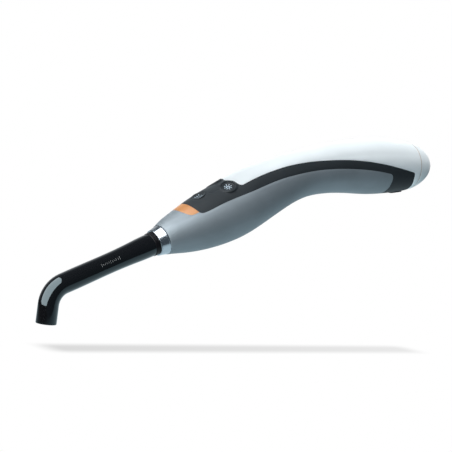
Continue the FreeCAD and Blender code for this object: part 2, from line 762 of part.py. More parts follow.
def parts():
    return {
        "light_guide": light_guide(),
        "guide_collar": guide_collar(),
        "guide_ferrule": guide_ferrule(),
        "ferrule_o_ring": ferrule_o_ring(),
        "swivel_bush": swivel_bush(),
        "snap_ring": snap_ring(),
        "front_ring": front_ring(),
        "guide_socket": guide_socket(),
        "collimator": collimator(),
        "led_board": led_board(),
        "led_dies": led_dies(),
        "heat_sink": heat_sink(),
        "led_ribbon": led_ribbon(),
        "lower_housing": lower_housing(),
        "accent_band": accent_band(),
        "middle_frame": middle_frame(),
        "display_window": display_window(),
        "top_cover": top_cover(),
        "start_button": button("start_button"),
        "left_mode_button": button("left_mode_button"),
        "right_mode_button": button("right_mode_button"),
        "keypad_flex": keypad_flex(),
        "tact_switches": tact_switches(),
        "main_board": main_board(),
        "board_screws": board_screws(),
        "control_chips": control_chips(),
        "buzzer": buzzer(),
        "inner_chassis": inner_chassis(),
        "contact_block": contact_block(),
        "contact_pins": contact_pins(),
        "cell_carrier": cell_carrier(),
        "battery_cell": battery_cell(),
        "battery_board": battery_board(),
        "battery_pads": battery_pads(),
        "seam_gasket": seam_gasket(),
        "end_cap": end_cap(),
        "charging_contacts": charging_contacts(),
        "release_button": release_button(),
    }


os.makedirs("parts", exist_ok=True)
for name, shape in parts().items():
    shape.exportStep("parts/" + name + ".step")
    box = shape.BoundBox
    print(name, shape.isValid(), len(shape.Solids), round(shape.Volume, 2),
          [round(value, 2) for value in (box.XMin, box.XMax, box.YMin, box.YMax, box.ZMin, box.ZMax)])
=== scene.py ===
"""Cordless dental curing light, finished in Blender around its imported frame.

Metres, +Z up. The origin is the centre of the light window at the tip of the
guide, the light leaves along -Z, and the handle runs to +X.
"""
import bpy
import json
import math
import numpy as np
from mathutils import Matrix, Quaternion, Vector

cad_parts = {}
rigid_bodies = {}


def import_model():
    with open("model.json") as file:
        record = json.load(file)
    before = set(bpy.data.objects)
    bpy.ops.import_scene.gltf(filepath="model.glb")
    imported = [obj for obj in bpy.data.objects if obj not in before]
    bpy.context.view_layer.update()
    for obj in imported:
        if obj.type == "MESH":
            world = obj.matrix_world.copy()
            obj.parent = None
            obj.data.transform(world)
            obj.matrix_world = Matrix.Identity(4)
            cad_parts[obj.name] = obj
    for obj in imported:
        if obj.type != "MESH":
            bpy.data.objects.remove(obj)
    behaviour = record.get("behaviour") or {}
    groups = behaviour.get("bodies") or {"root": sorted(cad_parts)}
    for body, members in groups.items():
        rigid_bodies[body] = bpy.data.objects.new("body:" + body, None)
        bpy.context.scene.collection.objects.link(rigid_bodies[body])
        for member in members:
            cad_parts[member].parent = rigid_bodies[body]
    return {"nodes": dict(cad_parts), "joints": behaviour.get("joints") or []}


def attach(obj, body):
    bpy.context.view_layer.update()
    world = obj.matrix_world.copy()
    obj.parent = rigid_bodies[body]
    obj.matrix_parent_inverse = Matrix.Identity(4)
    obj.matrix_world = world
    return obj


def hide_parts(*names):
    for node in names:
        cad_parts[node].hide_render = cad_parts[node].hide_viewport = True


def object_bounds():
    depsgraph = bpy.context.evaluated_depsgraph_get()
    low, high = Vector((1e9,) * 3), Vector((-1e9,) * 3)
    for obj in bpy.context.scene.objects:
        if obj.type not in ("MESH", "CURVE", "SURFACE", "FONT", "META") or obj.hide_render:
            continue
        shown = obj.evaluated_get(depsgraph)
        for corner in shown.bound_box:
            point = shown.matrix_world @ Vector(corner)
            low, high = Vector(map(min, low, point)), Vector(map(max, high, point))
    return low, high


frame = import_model()
CAD_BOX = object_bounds()

bl_info = {
    "name": "Curing light",
    "version": (1, 0, 0),
    "blender": (4, 5, 0),
    "location": "View3D > Sidebar > Curing light",
    "description": "Builds the finished look of a cordless dental curing light",
    "category": "Object",
}

MM = 0.001

# Directions in the studio are (azimuth, elevation) in degrees; azimuth 0 is -Y, 90 is +X.
BACKDROP_AZIMUTH = 143.0
WALL_COLOUR = (0.09, 0.11, 0.13)
BACKDROP_COLOUR = (0.75, 0.78, 0.80)
SIDE_DIRECTION = (-78, 36)            # the large softbox in front of the guide
SIDE_DISTANCE = 0.75
SIDE_SIZE = (1.35, 1.45)
SIDE_ROLL = -15
OVERHEAD_DIRECTION = (100, 84)
OVERHEAD_DISTANCE = 1.0
OVERHEAD_SIZE = (0.7, 0.7)
BEND = (0.005, 0, 0.02)               # bend of the guide, where the large softbox looks

FLOOR_WIDTH = 3.0
FLOOR_DEPTH = 2.0
FLOOR_FRONT = 0.12                    # how far the floor comes towards -Y
BOUNCE_CENTRE = (0.17, 0.06, 0)
BOUNCE_REACH = (0.14, 0.30)           # the light from the floor fades between these distances
BOUNCE_NEAR = 1.05
BOUNCE_FAR = 0.02
BOUNCE_COLOUR = (0.75, 0.93, 1.0)
SHADOW_CENTRE = (0.120, 0.0065, 0)
SHADOW_HALF_SIZE = (0.122, 0.0155, 1)
SHADOW_CORE = (("X", 0.86), ("Y", 0.15))    # share of the half size with the full depth
SHADOW_DEPTH = 0.24
SHADOW_FADE = 0.06                    # the shadow is lighter under the handle, which is higher

DRIFT_SCALE = 60.0                    # waves per metre of the slow change of colour
SMEAR_SCALE = 140.0                   # and of the uneven gloss
GRAIN_SIZE = 0.25 * MM
GRAIN_DEPTH = 0.02 * MM
WINDOW_RADIUS = 4.45 * MM
WINDOW_DEPTH = 0.04 * MM              # the window's finish reaches this far above the tip
FIBRE_SIZE = 0.28 * MM
LATHE_STEPS = 96
EDGE_SOFTENING = 0.1 * MM
SOFT_SHELLS = (
    ("lower_housing", "handle", "grey_housing"), ("accent_band", "handle", "orange_band"),
    ("middle_frame", "handle", "charcoal_frame"), ("top_cover", "handle", "white_cover"),
    ("end_cap", "battery_pack", "white_cover"), ("seam_gasket", "battery_pack", "seam_seal"),
)
RING_RADII = (6.36 * MM, 7.32 * MM, 5.65 * MM)     # front, back, bore
RING_LIP = 0.22 * MM                               # radius of the rolled front edge
LIP_STEPS = 8
RING_STEP = 0.55 * MM                              # width of the raised rear edge
RING_BEVEL = 0.1 * MM
START_ICON_SIZE = 2.2 * MM
MODE_ICON_SIZE = 1.95 * MM
ICON_THICKNESS = 0.02 * MM
STROKE_CUTS = 5                                    # lets a flat stroke follow a curved surface
TICK_ANGLE = math.radians(66)                      # off the top of the guide
TICK_PLACE = 31.5 * MM                             # middle of the row, from the corner of the axes
TICK_STEP = 1.0 * MM
TICK_COUNT = 11
TICK_WIDTH = 0.16 * MM
TICK_HEIGHT = 0.9 * MM
LONG_TICK_HEIGHT = 1.5 * MM
TICK_THICKNESS = 0.012 * MM


# ------------------------------------------------------------------- measures

def joint(name):
    """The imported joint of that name."""
    for entry in frame["joints"]:
        if entry["name"] == name:
            return entry
    raise RuntimeError("no joint named " + name)


def node_points(node):
    """All vertices of a CAD node, one row each."""
    mesh = frame["nodes"][node].data
    points = np.empty(len(mesh.vertices) * 3, np.float32)
    mesh.vertices.foreach_get("co", points)
    return points.reshape(-1, 3)


def node_reach(node, axis, start):
    """Nearest and farthest distance of a node along an axis from a point."""
    along = (node_points(node) - np.array(start)) @ np.array(axis)
    return float(along.min()), float(along.max())


def key_top(node, press_joint):
    """Centre of a key's top, its outward normal and the direction to the rear across it."""
    normal = -Vector(joint(press_joint)["axis"]).normalized()
    ahead = (Vector((1, 0, 0)) - normal * normal.x).normalized()
    side = normal.cross(ahead)
    points = node_points(node)
    centre = Vector()
    for axis in (ahead, side):
        along = points @ np.array(axis)
        centre += axis * float((along.min() + along.max()) / 2)
    centre += normal * float((points @ np.array(normal)).max())
    return centre, normal, ahead


# The straight part of the guide runs along GUIDE_AXIS; CORNER is where it meets the tip's axis.
GUIDE_AXIS = -Vector(joint("guide_pull_off")["axis"]).normalized()
GUIDE_POINT = Vector(joint("guide_swivel")["pos_m"])
GUIDE_UP = Vector((-GUIDE_AXIS.z, 0, GUIDE_AXIS.x))
CORNER = GUIDE_POINT - GUIDE_AXIS * (GUIDE_POINT.x / GUIDE_AXIS.x)
RING_FRONT, RING_BACK = node_reach("front_ring", GUIDE_AXIS, CORNER)


# ------------------------------------------------------------------- settings

class CuringLightStudio(bpy.types.PropertyGroup):
    """Camera, floor and lights."""

    azimuth: bpy.props.FloatProperty(
        name="Azimuth", description="Camera direction round the light, 0 looks along +Y",
        default=math.radians(-37.11), subtype="ANGLE")
    elevation: bpy.props.FloatProperty(
        name="Elevation", description="Camera height above the horizon",
        default=math.radians(4.12), subtype="ANGLE")
    roll: bpy.props.FloatProperty(
        name="Roll", description="Turn of the camera about its own axis",
        default=math.radians(7.59), subtype="ANGLE")
    distance: bpy.props.FloatProperty(
        name="Distance", description="Camera to the point it looks at",
        default=0.855, subtype="DISTANCE", unit="LENGTH")
    aim: bpy.props.FloatVectorProperty(
        name="Aim", description="Point that the camera looks at",
        default=(0.0955, 0.0015, 0.0507), subtype="TRANSLATION")
    lens: bpy.props.FloatProperty(
        name="Lens", description="Focal length for a 36 mm wide sensor",
        default=140.2, subtype="DISTANCE_CAMERA")
    floor_drop: bpy.props.FloatProperty(
        name="Floor drop", description="Height of the light window above the floor",
        default=10.8 * MM, subtype="DISTANCE", unit="LENGTH")
    floor_tilt: bpy.props.FloatProperty(
        name="Floor tilt", description="Rise of the floor towards the handle",
        default=math.radians(1.0), subtype="ANGLE")
    highlight: bpy.props.FloatProperty(
        name="Highlight", description="Radiance of the softbox that glossy surfaces show",
        default=7.5, min=0)
    side_light: bpy.props.FloatProperty(
        name="Side light", description="Radiance of the same softbox on matt surfaces",
        default=4.8, min=0)
    overhead: bpy.props.FloatProperty(
        name="Overhead light", description="Radiance of the softbox above the handle",
        default=7.0, min=0)


class CuringLightColours(bpy.types.PropertyGroup):
    """Main colours of the shells, linear."""

    housing: bpy.props.FloatVectorProperty(
        name="Housing", description="Satin blue-grey of the lower housing",
        default=(0.18, 0.213, 0.236), subtype="COLOR", min=0, max=1)
    frame: bpy.props.FloatVectorProperty(
        name="Frame", description="Charcoal of the middle frame and the keys",
        default=(0.021, 0.026, 0.030), subtype="COLOR", min=0, max=1)
    cover: bpy.props.FloatVectorProperty(
        name="Cover", description="Cool white of the cover and the end cap",
        default=(0.84, 0.90, 0.92), subtype="COLOR", min=0, max=1)
    accent: bpy.props.FloatVectorProperty(
        name="Accent", description="Orange of the accent band",
        default=(0.67, 0.285, 0.09), subtype="COLOR", min=0, max=1)
    guide: bpy.props.FloatVectorProperty(
        name="Guide", description="Black cladding of the light guide",
        default=(0.003, 0.003, 0.0035), subtype="COLOR", min=0, max=1)
    icon: bpy.props.FloatVectorProperty(
        name="Icon", description="Pale blue print of the key icons",
        default=(0.66, 0.82, 0.95), subtype="COLOR", min=0, max=1)


# ------------------------------------------------------------------ materials

def new_material(name):
    """An empty node material with its nodes and links."""
    material = bpy.data.materials.new(name)
    material.use_nodes = True
    return material, material.node_tree.nodes, material.node_tree.links


def noise(nodes, links, coords, scale, detail=3.0):
    """Noise fixed to the piece; the scale is in waves per metre."""
    texture = nodes.new("ShaderNodeTexNoise")
    texture.inputs["Scale"].default_value = scale
    texture.inputs["Detail"].default_value = detail
    texture.inputs["Roughness"].default_value = 0.5
    links.new(coords.outputs["Object"], texture.inputs["Vector"])
    return texture


def math_node(nodes, links, operation, first, second):
    """Scalar maths node; each input is a socket or a number."""
    node = nodes.new("ShaderNodeMath")
    node.operation = operation
    for socket, value in zip(node.inputs, (first, second)):
        if isinstance(value, (int, float)):
            socket.default_value = value
        else:
            links.new(value, socket)
    return node.outputs["Value"]


def moulded(name, colour, roughness, grain=0.05, variation=0.06, metallic=0.0, specular=0.5,
            spread=0.06, tint=(1, 1, 1)):
    """Plastic, paint or metal with fine grain, colour drift and uneven gloss."""
    material, nodes, links = new_material(name)
    shader = nodes["Principled BSDF"]
    shader.inputs["Metallic"].default_value = metallic
    shader.inputs["Specular IOR Level"].default_value = specular
    shader.inputs["Specular Tint"].default_value = (*tint, 1)
    coords = nodes.new("ShaderNodeTexCoord")

    drift = noise(nodes, links, coords, DRIFT_SCALE)
    ramp = nodes.new("ShaderNodeValToRGB")
    dark = [channel * (1 - variation) for channel in colour]
    light = [min(1.0, channel * (1 + variation)) for channel in colour]
    ramp.color_ramp.elements[0].position = 0.35
    ramp.color_ramp.elements[0].color = (*dark, 1)
    ramp.color_ramp.elements[1].position = 0.65
    ramp.color_ramp.elements[1].color = (*light, 1)
    links.new(drift.outputs["Fac"], ramp.inputs["Fac"])
    links.new(ramp.outputs["Color"], shader.inputs["Base Color"])

    smear = noise(nodes, links, coords, SMEAR_SCALE, detail=4.0)
    gloss = nodes.new("ShaderNodeMapRange")
    gloss.inputs["To Min"].default_value = max(0.02, roughness - spread)
    gloss.inputs["To Max"].default_value = roughness + spread
    links.new(smear.outputs["Fac"], gloss.inputs["Value"])
    links.new(gloss.outputs["Result"], shader.inputs["Roughness"])

    if grain > 0:
        texture = noise(nodes, links, coords, 1 / GRAIN_SIZE, detail=2.0)
        bump = nodes.new("ShaderNodeBump")
        bump.inputs["Strength"].default_value = grain
        bump.inputs["Distance"].default_value = GRAIN_DEPTH
        links.new(texture.outputs["Fac"], bump.inputs["Height"])
        links.new(bump.outputs["Normal"], shader.inputs["Normal"])
    return material


def guide_material(colour):
    """Gloss black cladding; the round window in the tip shows the ends of the glass fibres."""
    material = moulded("guide_cladding", colour, 0.06, grain=0.0, spread=0.02, tint=(0.72, 0.92, 1.0))
    nodes, links = material.node_tree.nodes, material.node_tree.links
    shader = nodes["Principled BSDF"]
    coords = nodes.new("ShaderNodeTexCoord")
    parts = nodes.new("ShaderNodeSeparateXYZ")
    links.new(coords.outputs["Object"], parts.inputs["Vector"])
    radius = nodes.new("ShaderNodeVectorMath")
    radius.operation = "LENGTH"
    links.new(coords.outputs["Object"], radius.inputs[0])
    low = math_node(nodes, links, "LESS_THAN", parts.outputs["Z"], WINDOW_DEPTH)
    inside = math_node(nodes, links, "LESS_THAN", radius.outputs["Value"], WINDOW_RADIUS)
    window = math_node(nodes, links, "MULTIPLY", low, inside)
    fibres = nodes.new("ShaderNodeTexVoronoi")
    fibres.feature = "DISTANCE_TO_EDGE"
    fibres.inputs["Scale"].default_value = 1 / FIBRE_SIZE
    links.new(coords.outputs["Object"], fibres.inputs["Vector"])
    pattern = nodes.new("ShaderNodeValToRGB")
    pattern.color_ramp.elements[0].color = (0.10, 0.11, 0.10, 1)
    pattern.color_ramp.elements[1].position = 0.12
    pattern.color_ramp.elements[1].color = (0.46, 0.50, 0.46, 1)
    links.new(fibres.outputs["Distance"], pattern.inputs["Fac"])
    mix = nodes.new("ShaderNodeMix")
    mix.data_type = "RGBA"
    links.new(window, mix.inputs["Factor"])
    links.new(shader.inputs["Base Color"].links[0].from_socket, mix.inputs["A"])
    links.new(pattern.outputs["Color"], mix.inputs["B"])
    links.new(mix.outputs["Result"], shader.inputs["Base Color"])
    return material


def dress(node, material):
    """Give a CAD node its finish."""
    mesh = frame["nodes"][node].data
    mesh.materials.clear()
    mesh.materials.append(material)


# --------------------------------------------------------------------- studio

def from_direction(azimuth, elevation):
    """Unit vector towards a direction in degrees; azimuth 0 is -Y, 90 is +X."""
    turn, rise = math.radians(azimuth), math.radians(elevation)
    return Vector((
        math.sin(turn) * math.cos(rise), -math.cos(turn) * math.cos(rise), math.sin(rise)))


def softbox(name, aim, direction, distance, size, radiance, glossy, matt, roll=0.0):
    """Rectangular light that looks at the aim and lights glossy or matt surfaces, or both.

    Its brightness is given as radiance, so that its size can change freely.
    """
    back = from_direction(*direction)
    light = bpy.data.lights.new(name, "AREA")
    light.shape = "RECTANGLE"
    light.size, light.size_y = size
    light.energy = radiance * math.pi * size[0] * size[1]
    holder = bpy.data.objects.new(name, light)
    bpy.context.scene.collection.objects.link(holder)
    holder.location = aim + back * distance
    holder.rotation_mode = "QUATERNION"
    turn = Quaternion((0, 0, 1), math.radians(roll))
    holder.rotation_quaternion = (-back).to_track_quat("-Z", "Y") @ turn
    holder.visible_glossy = glossy
    holder.visible_diffuse = matt


def studio_world():
    """White to the camera; for light, dark walls and a bright backdrop behind the object."""
    world = bpy.data.worlds.new("studio_world")
    world.use_nodes = True
    nodes, links = world.node_tree.nodes, world.node_tree.links
    output = nodes["World Output"]
    seen = nodes["Background"]
    seen.inputs["Color"].default_value = (1, 1, 1, 1)
    seen.inputs["Strength"].default_value = 1.0
    coords = nodes.new("ShaderNodeTexCoord")
    facing = nodes.new("ShaderNodeVectorMath")
    facing.operation = "DOT_PRODUCT"
    facing.inputs[1].default_value = from_direction(BACKDROP_AZIMUTH, 0)
    links.new(coords.outputs["Generated"], facing.inputs[0])
    ramp = nodes.new("ShaderNodeValToRGB")
    ramp.color_ramp.interpolation = "EASE"
    ramp.color_ramp.elements[0].position = 0.35
    ramp.color_ramp.elements[0].color = (*WALL_COLOUR, 1)
    ramp.color_ramp.elements[1].position = 0.95
    ramp.color_ramp.elements[1].color = (*BACKDROP_COLOUR, 1)
    links.new(facing.outputs["Value"], ramp.inputs["Fac"])
    lighting = nodes.new("ShaderNodeBackground")
    links.new(ramp.outputs["Color"], lighting.inputs["Color"])
    path = nodes.new("ShaderNodeLightPath")
    mix = nodes.new("ShaderNodeMixShader")
    links.new(path.outputs["Is Camera Ray"], mix.inputs["Fac"])
    links.new(lighting.outputs["Background"], mix.inputs[1])
    links.new(seen.outputs["Background"], mix.inputs[2])
    links.new(mix.outputs["Shader"], output.inputs["Surface"])
    return world


def floor_material():
    """White to the camera but for a soft shadow under the object; a pale bounce for the object."""
    material, nodes, links = new_material("studio_floor")
    coords = nodes.new("ShaderNodeTexCoord")
    place = nodes.new("ShaderNodeVectorMath")
    place.operation = "SUBTRACT"
    place.inputs[1].default_value = SHADOW_CENTRE
    links.new(coords.outputs["Object"], place.inputs[0])
    squeeze = nodes.new("ShaderNodeVectorMath")
    squeeze.operation = "DIVIDE"
    squeeze.inputs[1].default_value = SHADOW_HALF_SIZE
    links.new(place.outputs["Vector"], squeeze.inputs[0])
    parts = nodes.new("ShaderNodeSeparateXYZ")
    links.new(squeeze.outputs["Vector"], parts.inputs["Vector"])
    shade = math_node(nodes, links, "MULTIPLY_ADD", parts.outputs["X"], -SHADOW_FADE)
    shade.node.inputs[2].default_value = SHADOW_DEPTH
    for side, core in SHADOW_CORE:
        reach = math_node(nodes, links, "ABSOLUTE", parts.outputs[side], 0)
        fade = nodes.new("ShaderNodeMapRange")
        fade.interpolation_type = "SMOOTHSTEP"
        fade.inputs["From Min"].default_value = core
        fade.inputs["To Min"].default_value = 1.0
        fade.inputs["To Max"].default_value = 0.0
        links.new(reach, fade.inputs["Value"])
        shade = math_node(nodes, links, "MULTIPLY", shade, fade.outputs["Result"])
    tone = math_node(nodes, links, "SUBTRACT", 1.0, shade)
    seen = nodes.new("ShaderNodeEmission")
    seen.inputs["Color"].default_value = (1.0, 1.0, 1.0, 1)
    links.new(tone, seen.inputs["Strength"])

    distance = nodes.new("ShaderNodeVectorMath")
    distance.operation = "DISTANCE"
    distance.inputs[1].default_value = BOUNCE_CENTRE
    links.new(coords.outputs["Object"], distance.inputs[0])
    bounce = nodes.new("ShaderNodeMapRange")
    bounce.inputs["From Min"].default_value = BOUNCE_REACH[0]
    bounce.inputs["From Max"].default_value = BOUNCE_REACH[1]
    bounce.inputs["To Min"].default_value = BOUNCE_NEAR
    bounce.inputs["To Max"].default_value = BOUNCE_FAR
    links.new(distance.outputs["Value"], bounce.inputs["Value"])
    lit = nodes.new("ShaderNodeEmission")
    lit.inputs["Color"].default_value = (*BOUNCE_COLOUR, 1)
    links.new(bounce.outputs["Result"], lit.inputs["Strength"])

    path = nodes.new("ShaderNodeLightPath")
    mix = nodes.new("ShaderNodeMixShader")
    links.new(path.outputs["Is Camera Ray"], mix.inputs["Fac"])
    links.new(lit.outputs["Emission"], mix.inputs[1])
    links.new(seen.outputs["Emission"], mix.inputs[2])
    links.new(mix.outputs["Shader"], nodes["Material Output"].inputs["Surface"])
    nodes.remove(nodes["Principled BSDF"])
    return material


class StudioOperator(bpy.types.Operator):
    """Floor, softboxes, world and camera"""

    bl_idname = "curing_light.studio"
    bl_label = "Studio"

    def execute(self, context):
        settings = context.scene.curing_light_studio
        aim = Vector(settings.aim)
        deselect()
        bpy.ops.mesh.primitive_plane_add(size=1, location=(0, 0, CAD_BOX[0][2] - settings.floor_drop))
        floor = context.object
        floor.name = "studio_floor"
        floor.rotation_euler.y = -settings.floor_tilt
        floor.scale = (FLOOR_WIDTH, FLOOR_DEPTH, 1)
        floor.location.x = aim.x
        floor.location.y = FLOOR_DEPTH / 2 - FLOOR_FRONT
        bpy.ops.object.transform_apply(location=True, rotation=True, scale=True)
        floor.data.materials.append(floor_material())

        context.scene.world = studio_world()
        for name, radiance, glossy in (
            ("softbox_gloss", settings.highlight, True),
            ("softbox_matt", settings.side_light, False),
        ):
            softbox(name, Vector(BEND), SIDE_DIRECTION, SIDE_DISTANCE, SIDE_SIZE, radiance,
                    glossy, not glossy, roll=SIDE_ROLL)
        softbox("overhead_softbox", aim, OVERHEAD_DIRECTION, OVERHEAD_DISTANCE, OVERHEAD_SIZE,
                settings.overhead, False, True)

        azimuth, elevation = math.degrees(settings.azimuth), math.degrees(settings.elevation)
        back = from_direction(azimuth, elevation)
        camera = bpy.data.cameras.new("camera")
        camera.lens = settings.lens
        camera.sensor_width = 36
        camera.clip_end = 100
        holder = bpy.data.objects.new("camera", camera)
        context.scene.collection.objects.link(holder)
        holder.location = aim + back * settings.distance
        holder.rotation_mode = "QUATERNION"
        roll = Quaternion((0, 0, 1), settings.roll)
        holder.rotation_quaternion = (-back).to_track_quat("-Z", "Y") @ roll
        context.scene.camera = holder
        context.scene.view_settings.view_transform = "Standard"
        return {"FINISHED"}


# -------------------------------------------------------------------- shaping

def deselect():
    """Leave edit mode and select nothing."""
    if bpy.context.object and bpy.context.object.mode != "OBJECT":
        bpy.ops.object.mode_set(mode="OBJECT")
    bpy.ops.object.select_all(action="DESELECT")


def pick(piece):
    """Select one piece only and make it active."""
    deselect()
    piece.select_set(True)
    bpy.context.view_layer.objects.active = piece


def settle(piece, name, material, body, replaces=()):
    """Name a finished piece, bake its place into its mesh and join it to its body."""
    pick(piece)
    bpy.ops.object.transform_apply(location=True, rotation=True, scale=True)
    piece.name = name
    piece.data.name = name
    piece.data.materials.clear()
    piece.data.materials.append(material)
    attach(piece, body)
    if replaces:
        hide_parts(*replaces)


def lathe(profile, closed=False):
    """Turn a profile of (distance, radius) stations about +Z from a circle, ring by ring.

    A closed profile comes back to its first station and leaves no open rim.
    """
    deselect()
    start, radius = profile[0]
    bpy.ops.mesh.primitive_circle_add(vertices=LATHE_STEPS, radius=radius, location=(0, 0, start))
    piece = bpy.context.object
    bpy.ops.object.transform_apply(location=True)
    bpy.ops.object.mode_set(mode="EDIT")
    bpy.ops.mesh.select_all(action="SELECT")
    stations = profile[1:] + (profile[:1] if closed else [])
    for along, wide in stations:
        bpy.ops.mesh.extrude_region_move(TRANSFORM_OT_translate={"value": (0, 0, along - start)})
        share = wide / radius
        bpy.ops.transform.resize(value=(share, share, 1), center_override=(0, 0, along))
        start, radius = along, wide
    bpy.ops.mesh.select_all(action="SELECT")
    bpy.ops.mesh.remove_doubles(threshold=0.001 * MM)
    bpy.ops.mesh.normals_make_consistent(inside=False)
    bpy.ops.object.mode_set(mode="OBJECT")
    return piece


def aim_piece(piece, place, axis, up):
    """Stand a piece drawn about +Z on a place, with +Z along the axis and +Y towards up."""
    side = up.cross(axis).normalized()
    turn = Matrix((side, axis.cross(side), axis)).transposed()
    piece.rotation_mode = "QUATERNION"
    piece.rotation_quaternion = turn.to_quaternion()
    piece.location = place


def smooth(piece, angle):
    """Smooth shading but for edges sharper than the angle in degrees."""
    pick(piece)
    bpy.ops.object.shade_smooth_by_angle(angle=math.radians(angle))


def bar(across, along, width, length, turn=0.0):
    """Thin flat stroke of an icon, in the XY plane."""
    bpy.ops.mesh.primitive_plane_add(size=1, location=(across, along, 0), rotation=(0, 0, turn))
    stroke = bpy.context.object
    stroke.scale = (width, length, 1)
    bpy.ops.object.transform_apply(location=True, rotation=True, scale=True)
    bpy.ops.object.mode_set(mode="EDIT")
    bpy.ops.mesh.select_all(action="SELECT")
    bpy.ops.mesh.subdivide(number_cuts=STROKE_CUTS)
    bpy.ops.object.mode_set(mode="OBJECT")
    return stroke


def join(pieces):
    """Make one piece of several."""
    pick(pieces[0])
    for piece in pieces:
        piece.select_set(True)
    bpy.ops.object.join()
    return bpy.context.object


def print_on(icon, target, thickness):
    """Lay a flat icon on a CAD node along the icon's own Z axis and give it body."""
    pick(icon)
    lay = icon.modifiers.new("lay", "SHRINKWRAP")
    lay.target = frame["nodes"][target]
    lay.wrap_method = "PROJECT"
    lay.use_project_z = True
    lay.use_negative_direction = True
    lay.use_positive_direction = True
    lay.offset = thickness
    bpy.ops.object.modifier_apply(modifier="lay")
    body = icon.modifiers.new("body", "SOLIDIFY")
    body.thickness = thickness
    bpy.ops.object.modifier_apply(modifier="body")


# --------------------------------------------------------------------- pieces

class ShellsOperator(bpy.types.Operator):
    """Finishes of the handle shells, keys and seals"""

    bl_idname = "curing_light.shells"
    bl_label = "Shell finishes"

    def execute(self, context):
        colours = context.scene.curing_light_colours
        housing = moulded("housing_paint", colours.housing, 0.55, grain=0.06, metallic=0.35, specular=0.4)
        charcoal = moulded("charcoal_soft_touch", colours.frame, 0.52, grain=0.12, specular=0.12)
        keys = moulded("key_rubber", colours.frame, 0.46, grain=0.10, specular=0.12)
        window = moulded("dark_window", colours.frame, 0.50, grain=0.10, specular=0.12)
        white = moulded("cover_white", colours.cover, 0.34, grain=0.05, variation=0.02)
        orange = moulded("accent_orange", colours.accent, 0.38, grain=0.05, variation=0.03)
        seal = moulded("seam_seal", (0.62, 0.56, 0.52), 0.6, grain=0.08)
        for material, nodes in (
            (housing, ("lower_housing",)),
            (charcoal, ("middle_frame",)),
            (window, ("display_window",)),
            (white, ("top_cover", "end_cap")),
            (orange, ("accent_band",)),
            (seal, ("seam_gasket",)),
            (keys, ("start_button", "left_mode_button", "right_mode_button", "release_button")),
        ):
            for node in nodes:
                dress(node, material)
        return {"FINISHED"}


class EdgesOperator(bpy.types.Operator):
    """Finer copies of the shells with softened edges, so that every parting line is a groove"""

    bl_idname = "curing_light.edges"
    bl_label = "Softened shell edges"

    def execute(self, context):
        for node, body, slot in SOFT_SHELLS:
            source = frame["nodes"][node]
            pick(source)
            bpy.ops.object.duplicate()
            piece = context.object
            bpy.ops.object.parent_clear(type="CLEAR_KEEP_TRANSFORM")
            # The copy starts without the marks that tie the original to the frame.
            for mark in [key for key in piece.keys() if key.startswith("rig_")]:
                del piece[mark]
            bpy.ops.object.mode_set(mode="EDIT")
            bpy.ops.mesh.select_all(action="SELECT")
            bpy.ops.mesh.remove_doubles(threshold=0.002 * MM)
            bpy.ops.object.mode_set(mode="OBJECT")
            bpy.ops.mesh.customdata_custom_splitnormals_clear()
            soften = piece.modifiers.new("soften", "BEVEL")
            soften.width = EDGE_SOFTENING
            soften.segments = 2
            soften.limit_method = "ANGLE"
            soften.angle_limit = math.radians(40)
            soften.use_clamp_overlap = False
            bpy.ops.object.modifier_apply(modifier="soften")
            smooth(piece, angle=32)
            settle(piece, node + "_soft", source.data.materials[0], body, [node])
        return {"FINISHED"}


class GuideOperator(bpy.types.Operator):
    """Finishes of the light guide and its collar"""

    bl_idname = "curing_light.guide"
    bl_label = "Light guide"

    def execute(self, context):
        collar = moulded("collar_black", (0.003, 0.003, 0.004), 0.4, grain=0.03, specular=0.12)
        dress("light_guide", guide_material(context.scene.curing_light_colours.guide))
        dress("guide_collar", collar)
        return {"FINISHED"}


class RingOperator(bpy.types.Operator):
    """Polished ring: spun cone with a rolled lip at its front and a step at its rear"""

    bl_idname = "curing_light.ring"
    bl_label = "Metal ring"

    def execute(self, context):
        length = RING_BACK - RING_FRONT
        rear = length - RING_STEP
        front, back, bore = RING_RADII
        lip = RING_LIP
        profile = [(0, bore)]
        for step in range(LIP_STEPS + 1):
            turn = math.pi * step / LIP_STEPS
            profile.append((lip * (1 - math.cos(turn)), front - lip + lip * math.sin(turn)))
        profile += [
            (2.3 * lip, front - RING_BEVEL), (2.6 * lip, front + 0.02 * MM),
            (rear, back - 0.18 * MM), (rear + 0.08 * MM, back - 0.02 * MM),
            (length - RING_BEVEL, back), (length, back - RING_BEVEL), (length, bore),
        ]
        ring = lathe(profile, closed=True)
        smooth(ring, angle=35)
        aim_piece(ring, CORNER + GUIDE_AXIS * RING_FRONT, GUIDE_AXIS, GUIDE_UP)
        metal = moulded(
            "polished_metal", (0.38, 0.42, 0.46), 0.2, grain=0.02, metallic=1.0, spread=0.04)
        settle(ring, "spun_ring", metal, "handle", ["front_ring"])
        return {"FINISHED"}


def sun_strokes(size):
    """A ring with eight rays."""
    strokes = [lathe([(0, 0.30 * size), (0, 0.46 * size)])]
    for number in range(8):
        turn = math.tau * number / 8
        reach = 0.82 * size
        strokes.append(bar(
            math.sin(turn) * reach, math.cos(turn) * reach, 0.16 * size, 0.38 * size, -turn))
    return strokes


def burst_strokes(size):
    """Dashes on both sides of a row of dots."""
    strokes = []
    for number in range(5):
        strokes.append(bar(0, (number - 2) * 0.36 * size, 0.12 * size, 0.12 * size))
    for side in (-1, 1):
        for number in range(3):
            turn = side * (number - 1) * 0.5
            strokes.append(bar(
                side * 0.58 * size, (number - 1) * 0.52 * size, 0.4 * size, 0.13 * size, turn))
    return strokes


